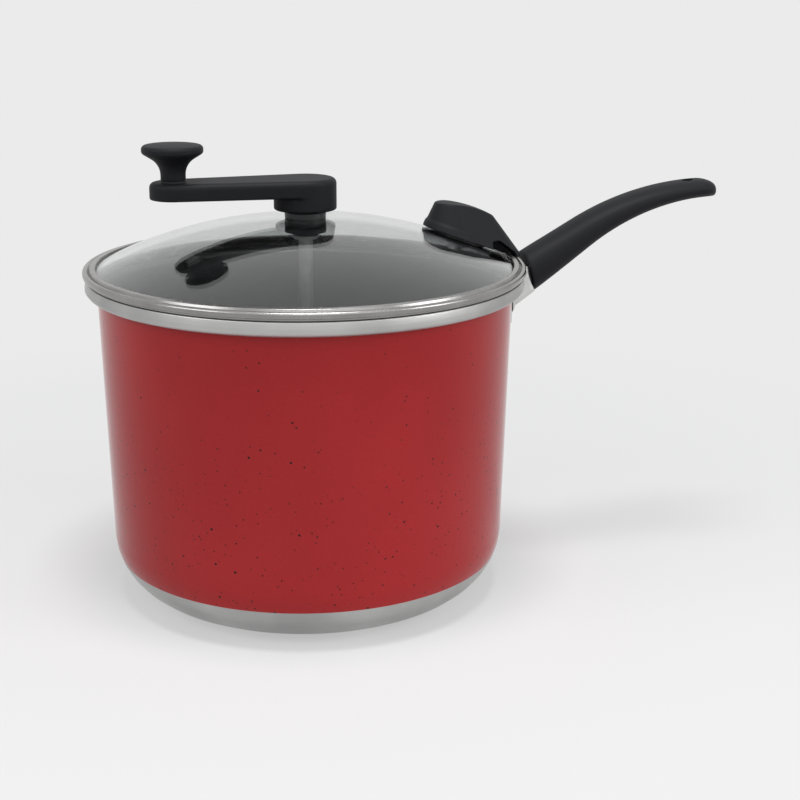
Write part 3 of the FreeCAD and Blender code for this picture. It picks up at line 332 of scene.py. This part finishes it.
def split_at(points, height, last):
    """The outline with a point added where it first passes a height, before index last."""
    for index in range(last):
        low, high = points[index], points[index + 1]
        if low.y < height < high.y:
            share = (height - low.y) / (high.y - low.y)
            return points[: index + 1] + [low.lerp(high, share)] + points[index + 1 :]
    return points


def around(look):
    """Distance from the upright axis and height of a point, as two wires."""
    x, y, z = look.parts(look.place())
    return (x * x + y * y) ** 0.5, z


enamel = Look("red_enamel", {"IOR": 1.46, "Specular IOR Level": 0.2})
where = enamel.place()
radius, height = around(enamel)
cloud = enamel.noise(where, 7.0, 3.0)
grain = enamel.noise(where, 1100.0, 2.0)
deep_red = (0.285, 0.0130, 0.0150, 1)
light_red = (0.330, 0.0165, 0.0185, 1)
red = enamel.mix(enamel.ramp(cloud, 0.35, 0.65), deep_red, light_red)
red = enamel.mix(enamel.ramp(grain, 0.45, 0.8) * 0.18, red, (0.45, 0.03, 0.034, 1))
for cell_scale, share, fleck_size, fleck in (
    (150.0, 1.2, 0.09, (0.015, 0.005, 0.005, 1)),
    (230.0, 1.2, 0.10, (0.03, 0.007, 0.008, 1)),
    (330.0, 0.6, 0.13, (0.06, 0.009, 0.010, 1)),
):
    cells = enamel.make("ShaderNodeTexVoronoi", values={"Vector": where, "Scale": cell_scale})
    tint = Wire(enamel, cells.socket.node.outputs["Color"])
    chance, spread, _ = enamel.parts(tint)
    low_down = 1.0 - enamel.ramp(height, 0.05, 0.15) * 0.8
    keep = chance < low_down * share
    fleck_mask = keep * (cells < fleck_size * (0.5 + spread * 0.7))
    red = enamel.mix(fleck_mask, red, fleck)
enamel.feed("Base Color", red)
enamel.feed("Roughness", 0.06 + enamel.noise(where, 60.0, 3.0) * 0.05)
ripple = enamel.noise(where, 14.0, 1.0) + enamel.noise(where, 420.0, 2.0) * 0.03
enamel.bump(ripple, 0.0006, 0.5)

bare = Look("bare_aluminium", {"Metallic": 1.0, "IOR": 1.5})
radius, height = around(bare)
turning = bare.noise(bare.joined(radius, height, 0.0), 1500.0, 3.0, 0.6)
patch = bare.ramp(bare.noise(bare.place(), 22.0, 3.0), 0.3, 0.7) * 0.6 + turning * 0.4
bare.feed("Base Color", bare.mix(patch, (0.30, 0.30, 0.30, 1), (0.52, 0.52, 0.51, 1)))
bare.feed("Roughness", 0.3 + turning * 0.14 + patch * 0.06)
bare.bump(turning, 0.00008, 0.5)

non_stick = Look("non_stick_coating", {"IOR": 1.45})
grit = non_stick.noise(non_stick.place(), 1500.0, 2.0)
fleck_cells = {"Vector": non_stick.place(), "Scale": 700.0}
fleck = non_stick.make("ShaderNodeTexVoronoi", values=fleck_cells)
coat_grey = (0.028, 0.028, 0.030, 1)
fleck_grey = (0.16, 0.16, 0.165, 1)
non_stick.feed("Base Color", non_stick.mix((fleck < 0.16) * 0.7, coat_grey, fleck_grey))
non_stick.feed("Roughness", 0.42 + grit * 0.15)
non_stick.bump(grit, 0.00006, 0.6)

slope = (wall_top_radius - wall_base_radius) / shoulder_height
inner_base = wall_base_radius - wall_thickness + slope * base_thickness
rim_inside = rim_radius - wall_thickness
ledge = shoulder_height + wall_thickness
pot_corners = [
    (0.0, 0.0, 0.0),
    (wall_base_radius, 0.0, base_corner),
    (wall_top_radius, shoulder_height, 0.8),
    (rim_radius, shoulder_height, rim_bend),
    (rim_radius, rim_height - rim_lean_drop, rim_lean_round),
    (rim_radius - rim_lean, rim_height, 1.0),
    (rim_inside, rim_height, 0.4),
    (rim_inside, ledge, rim_bend - wall_thickness),
    (wall_top_radius - wall_thickness, ledge, 2.6),
    (inner_base, base_thickness, base_corner - base_thickness),
    (0.0, base_thickness, 0.0),
]
pot_outline = rounded_outline(pot_corners)
rim_index = max(
    range(len(pot_outline)), key=lambda index: (pot_outline[index].y, pot_outline[index].x)
)
pot_outline = split_at(pot_outline, coat_low, rim_index)
pot_outline = split_at(pot_outline, coat_high, rim_index + 1)


def pot_finish(index, middle):
    """0 red enamel, 1 bare aluminium, 2 non-stick."""
    if middle.x < rim_inside and (index > rim_index + 2) and middle.y < rim_height - 0.5:
        return 2
    return 0 if coat_low < middle.y < coat_high else 1


pot_finishes = [enamel, bare, non_stick]
pot = lathe(
    "pot_shell_drawn", "pot", pot_outline, pot_finishes, pot_finish, closed=False, turns=256
)
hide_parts("pot_shell")

# ---------------------------------------------------------------- handle bracket and rivets
# Polished aluminium casting riveted under the rim with two solid rivets. A flat tongue on its
# neck enters the handle.

cast = Look("polished_casting", {"Metallic": 1.0})
cast_patch = cast.noise(cast.place(), 90.0, 4.0)
cast.feed("Base Color", cast.mix(cast_patch, (0.50, 0.50, 0.49, 1), (0.66, 0.66, 0.65, 1)))
cast.feed("Roughness", 0.3 + cast_patch * 0.18)
cast.bump(cast.noise(cast.place(), 700.0, 2.0), 0.00006, 0.5)


def dress(node, finish):
    """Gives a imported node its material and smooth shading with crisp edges."""
    made = nodes[node]
    made.data.materials.clear()
    made.data.materials.append(finish.material)
    made.data.polygons.foreach_set("use_smooth", [True] * len(made.data.polygons))
    made.data.set_sharp_from_angle(angle=math.radians(30.0))
    return made


def soften(node, finish, voxel, passes):
    """Dresses a moulded or cast node and gives it small even roundings on every edge."""
    made = dress(node, finish)
    remesh = made.modifiers.new("even_skin", "REMESH")
    remesh.mode = "VOXEL"
    remesh.voxel_size = voxel * MM
    remesh.use_smooth_shade = True
    relax = made.modifiers.new("rounding", "SMOOTH")
    relax.factor = 0.5
    relax.iterations = passes
    return made


soften("handle_bracket", cast, 0.5, 6)
dress("bracket_rivets", cast)

# ---------------------------------------------------------------- handle
# Black phenolic moulding that butts against the bracket and is held on its tongue by one
# screw from below. The section flattens towards the drooping tip.

handle_slope = math.radians(32.7)
root_lean = math.radians(16.5)
root_place = Vector((128.9, 0.0, 174.0))
handle_length = 126.8
handle_straight = 39.1
handle_bend = 149.0
handle_half_width = 12.2
root_half_height = 11.6
tip_half_height = 5.1
tip_round = 11.0
tip_reach = 10.45
tip_turn = math.radians(86.0)
taper_power = 1.6
root_blend = 24.0
root_blend_power = 1.5
root_edge = 0.7
hang_hole_radius = 3.5
hang_hole_inset = 18.0
tip_drop = 3.0
screw_reach = 23.1
screw_seat = 6.6
screw_recess_radius = 4.1

phenolic = Look("black_phenolic", {"IOR": 1.5, "Specular IOR Level": 0.16})
cloudy = phenolic.noise(phenolic.place(), 45.0, 3.0)
pores = phenolic.noise(phenolic.place(), 1300.0, 2.0)
deep_black = (0.0050, 0.0053, 0.0070, 1)
light_black = (0.0085, 0.0088, 0.0110, 1)
phenolic.feed("Base Color", phenolic.mix(cloudy, deep_black, light_black))
phenolic.feed("Roughness", 0.5 + cloudy * 0.08 + pores * 0.08)
phenolic.bump(pores, 0.00005, 0.6)


def handle_middle(reach):
    """Place of the handle's middle line and its climb at a distance from the root."""
    flat = min(reach, handle_straight)
    climb = handle_slope - max(0.0, reach - handle_straight) / handle_bend
    x = flat * math.cos(handle_slope) + handle_bend * (math.sin(handle_slope) - math.sin(climb))
    z = flat * math.sin(handle_slope) + handle_bend * (math.cos(climb) - math.cos(handle_slope))
    return root_place + Vector((x, 0.0, z)), climb


def superellipse(half_width, half_height, count, power=2.3):
    """Points (across, up) of an oval with flattened sides."""
    points = []
    for index in range(count):
        angle = math.tau * index / count
        across, up = math.cos(angle), math.sin(angle)
        points.append(
            (
                half_width * math.copysign(abs(across) ** (2 / power), across),
                half_height * math.copysign(abs(up) ** (2 / power), up),
            )
        )
    return points


def handle_ring(reach, narrowing=0.0, shrink=1.0, count=64):
    """One ring of points round the handle."""
    middle, climb = handle_middle(reach)
    settle = max(0.0, 1.0 - reach / root_blend) ** root_blend_power
    climb += (root_lean - climb) * settle
    swell = (root_half_height - tip_half_height) * (1.0 - reach / handle_length) ** taper_power
    width = handle_half_width * math.cos(narrowing) * shrink
    height = (tip_half_height + swell) * math.sqrt(math.cos(narrowing)) * shrink
    rise = Vector((-math.sin(climb), 0.0, math.cos(climb)))
    middle.z -= tip_drop * (1.0 - math.cos(narrowing))
    oval = superellipse(width, height, count)
    return [middle + Vector((0, across, 0)) + rise * up for across, up in oval]


def skin(rings):
    """Points and faces of a tube through rings of equal count, with closed ends."""
    count = len(rings[0])
    points = [point for ring in rings for point in ring]
    faces = []
    for index in range(len(rings) - 1):
        for turn in range(count):
            after = (turn + 1) % count
            low, high = index * count, (index + 1) * count
            faces.append((low + turn, low + after, high + after, high + turn))
    faces.append(tuple(reversed(range(count))))
    faces.append(tuple(range(len(points) - count, len(points))))
    return points, faces


handle_rings = [
    handle_ring(0.0, shrink=0.9),
    handle_ring(0.0, shrink=0.96),
    handle_ring(root_edge),
]
straight_steps = 70
tip_steps = 14
tip_start = handle_length - tip_round
for step in range(1, straight_steps + 1):
    reach = root_edge + (tip_start - root_edge) * step / straight_steps
    handle_rings.append(handle_ring(reach))
for step in range(1, tip_steps + 1):
    turn = tip_turn * step / tip_steps
    handle_rings.append(handle_ring(tip_start + tip_reach * math.sin(turn), turn))
handle = piece("handle_moulding", "pot", *skin(handle_rings), [phenolic])


def carve(made, holes):
    """Bores round holes, each (place, direction, radius, length) in mm, out of a piece."""
    cutter_mesh = bpy.data.meshes.new("cutter")
    drill = bmesh.new()
    for place, direction, bore, length in holes:
        turn = Vector(direction).to_track_quat("Z", "Y").to_matrix().to_4x4()
        spot = Matrix.Translation(Vector(place) * MM) @ turn
        bmesh.ops.create_cone(
            drill,
            cap_ends=True,
            segments=48,
            radius1=bore * MM,
            radius2=bore * MM,
            depth=length * MM,
            matrix=spot,
        )
    drill.to_mesh(cutter_mesh)
    drill.free()
    cutter = bpy.data.objects.new("cutter", cutter_mesh)
    scene.collection.objects.link(cutter)
    cut = made.modifiers.new("holes", "BOOLEAN")
    cut.operation = "DIFFERENCE"
    cut.solver = "EXACT"
    cut.object = cutter
    bpy.context.view_layer.update()
    ready = made.evaluated_get(bpy.context.evaluated_depsgraph_get())
    carved = bpy.data.meshes.new_from_object(ready)
    made.modifiers.clear()
    made.data = carved
    bpy.data.objects.remove(cutter)


hang_place, _ = handle_middle(handle_length - hang_hole_inset)
screw_place = root_place + Vector((math.cos(handle_slope), 0, math.sin(handle_slope))) * screw_reach
screw_down = Vector((math.sin(handle_slope), 0, -math.cos(handle_slope)))
recess_depth = 12.0
recess_place = screw_place + screw_down * (screw_seat + recess_depth / 2)
carve(
    handle,
    [
        (hang_place, (0, 0, 1), hang_hole_radius, 40.0),
        (recess_place, screw_down, screw_recess_radius, recess_depth),
    ],
)
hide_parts("handle_grip")

steel = Look("polished_steel", {"Metallic": 1.0})
steel_patch = steel.noise(steel.place(), 60.0, 3.0)
steel_lines = steel.noise(steel.place(), 1600.0, 2.0)
steel.feed("Base Color", steel.mix(steel_patch, (0.22, 0.215, 0.21, 1), (0.36, 0.355, 0.35, 1)))
steel.feed("Roughness", 0.18 + steel_patch * 0.1 + steel_lines * 0.06)
steel.bump(steel_lines, 0.00003, 0.4)
zinc = Look("plain_steel", {"Metallic": 1.0})
zinc_patch = zinc.noise(zinc.place(), 240.0, 3.0)
zinc.feed("Base Color", zinc.mix(zinc_patch, (0.42, 0.42, 0.42, 1), (0.60, 0.60, 0.60, 1)))
zinc.feed("Roughness", 0.28 + zinc_patch * 0.2)
zinc.bump(zinc.noise(zinc.place(), 1400.0, 2.0), 0.00004, 0.4)
dress("handle_screw", zinc)

# ---------------------------------------------------------------- lid glass
# Tempered soda-lime glass, 4 mm thick, slumped to a shallow dome and edge-ground, with a hole
# in the middle for the bushing.

glass_apex = 211.0
glass_thickness = 4.0
lip_radius = 114.4
lip_height = 184.7
glass_edge = 117.0
glass_hole = 7.0
dome_rise = glass_apex - lip_height
dome_radius = (lip_radius**2 + dome_rise**2) / (2 * dome_rise)
dome_centre = glass_apex - dome_radius


def dome_height(across, out=0.0):
    """Height of the glass at a radius, or of a sphere a little outside it, in mm."""
    return dome_centre + math.sqrt((dome_radius + out) ** 2 - across**2)


glass_tint = (0.86, 0.885, 0.877, 1)
clear = Look(
    "tempered_glass", {"Transmission Weight": 1.0, "IOR": 1.5, "Base Color": glass_tint}
)
clear.feed("Roughness", clear.ramp(clear.noise(clear.place(), 9.0, 3.0), 0.4, 0.8) * 0.03)

glass_steps = 44
glass_outline = []
for step in range(glass_steps + 1):
    across = glass_hole + (glass_edge - 0.5 - glass_hole) * step / glass_steps
    glass_outline.append(Vector((across, dome_height(across))))
glass_outline.append(Vector((glass_edge, dome_height(glass_edge) - 0.6)))
glass_outline.append(Vector((glass_edge, dome_height(glass_edge, -glass_thickness) + 0.6)))
for step in reversed(range(glass_steps + 1)):
    across = glass_hole + (glass_edge - 0.5 - glass_hole) * step / glass_steps
    glass_outline.append(Vector((across, dome_height(across, -glass_thickness))))
glass_outline.reverse()
glass = lathe("lid_glass_slumped", "lid", glass_outline, [clear], turns=224)
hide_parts("lid_glass")

# ---------------------------------------------------------------- lid rim band
# Stainless strip rolled round the glass: a lip over the glass, a shallow groove, a round bead
# that seats on the pot and a skirt that drops inside the rim.

skirt_inside = 116.8
skirt_outside = 118.2
skirt_foot = 175.3
band_low = 180.3
seat_out = 119.6
roll_low = 181.4
band_out = 121.49
band_high = 184.9
band_corners = [
    (lip_radius, dome_height(lip_radius, -glass_thickness) - 0.7, 0.0),
    (skirt_inside, dome_height(skirt_inside, -glass_thickness) - 0.7, 0.0),
    (skirt_inside, skirt_foot, 0.5),
    (skirt_outside, skirt_foot, 0.5),
    (skirt_outside, band_low, 0.2),
    (seat_out, band_low, 0.2),
    (seat_out, roll_low, 0.2),
    (band_out, roll_low, 1.2),
    (band_out, band_high, 1.4),
    (119.2, band_high, 0.5),
    (117.5, 183.5, 0.3),
    (118.3, 183.5, 0.4),
    (117.4, 185.8, 0.35),
    (114.6, 186.0, 0.35),
    (lip_radius, dome_height(lip_radius) - 0.2, 0.0),
]
band = lathe("lid_band_rolled", "lid", rounded_outline(band_corners, 6), [steel], turns=256)
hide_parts("lid_rim_band")

# ---------------------------------------------------------------- lid grip
# Black phenolic finger grip screwed through the glass from below, on a thin silicone pad.

soften("lid_grip", phenolic, 0.45, 16)
silicone = Look("black_silicone", {"IOR": 1.42, "Roughness": 0.5})
silicone_grain = silicone.noise(silicone.place(), 800.0, 2.0)
dark_silicone = (0.02, 0.02, 0.021, 1)
light_silicone = (0.04, 0.04, 0.041, 1)
silicone.feed("Base Color", silicone.mix(silicone_grain, dark_silicone, light_silicone))
silicone.bump(silicone_grain, 0.00005, 0.4)
for node in ("lid_grip_pad", "lid_grip_seal", "bushing_gasket_upper", "bushing_gasket_lower"):
    dress(node, silicone)
for node in ("lid_grip_washer", "lid_grip_screw"):
    dress(node, zinc)

# ---------------------------------------------------------------- bushing
# Black nylon bushing with a flange above the glass and a round nut below it.

nylon = Look("black_nylon", {"IOR": 1.5})
nylon_grain = nylon.noise(nylon.place(), 700.0, 2.0)
nylon.feed("Base Color", nylon.mix(nylon_grain, (0.016, 0.0175, 0.02, 1), (0.024, 0.026, 0.029, 1)))
nylon.feed("Roughness", 0.4 + nylon_grain * 0.12)
nylon.bump(nylon_grain, 0.00005, 0.5)
dress("shaft_bushing", nylon)
dress("bushing_nut", nylon)
dress("knob_washer", nylon)

# ---------------------------------------------------------------- crank and stirrer
# The phenolic arm is moulded over a brass hexagon that carries the shaft. The hub and the wire
# at the foot of the shaft are plain steel.

soften("crank_arm", phenolic, 0.5, 6)
brass = Look("machined_brass", {"Metallic": 1.0, "Roughness": 0.3})
brass_grain = brass.noise(brass.place(), 900.0, 2.0)
brass.feed("Base Color", brass.mix(brass_grain, (0.55, 0.37, 0.13, 1), (0.68, 0.48, 0.2, 1)))
dress("hub_insert", brass)
for node in (
    "thrust_washer",
    "crank_shaft",
    "lower_washer",
    "shaft_clip",
    "stirrer_hub",
    "stirrer_set_screw",
    "stirrer_wire",
    "knob_stud",
    "knob_stud_nut",
    "knob_snap_ring",
):
    dress(node, zinc)

# ---------------------------------------------------------------- knob
# Turned-looking phenolic mushroom knob that spins on its stud.

knob_low, knob_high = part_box("knob")
knob_middle = ((knob_low.x + knob_high.x) / 2 / MM, 0.0)
knob_base = knob_low.z / MM
knob_bore = 4.06
knob_bore_depth = 14.5
knob_neck = 6.7
knob_out = 16.4
knob_corners = [
    (knob_bore, 0.0, 0.3),
    (knob_neck, 0.0, 0.4),
    (knob_neck, 8.6, 10.0),
    (knob_out, 14.6, 2.1),
    (knob_out, 18.6, 2.1),
    (9.0, 19.2, 0.0),
    (0.0, 19.4, 0.0),
]
knob_outline = [point + Vector((0, knob_base)) for point in rounded_outline(knob_corners)]
bore_end = knob_base + knob_bore_depth
knob_outline += [Vector((0.0, bore_end)), Vector((knob_bore, bore_end))]
knob = lathe("knob_moulding", "knob", knob_outline, [phenolic], turns=128, middle=knob_middle)
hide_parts("knob")
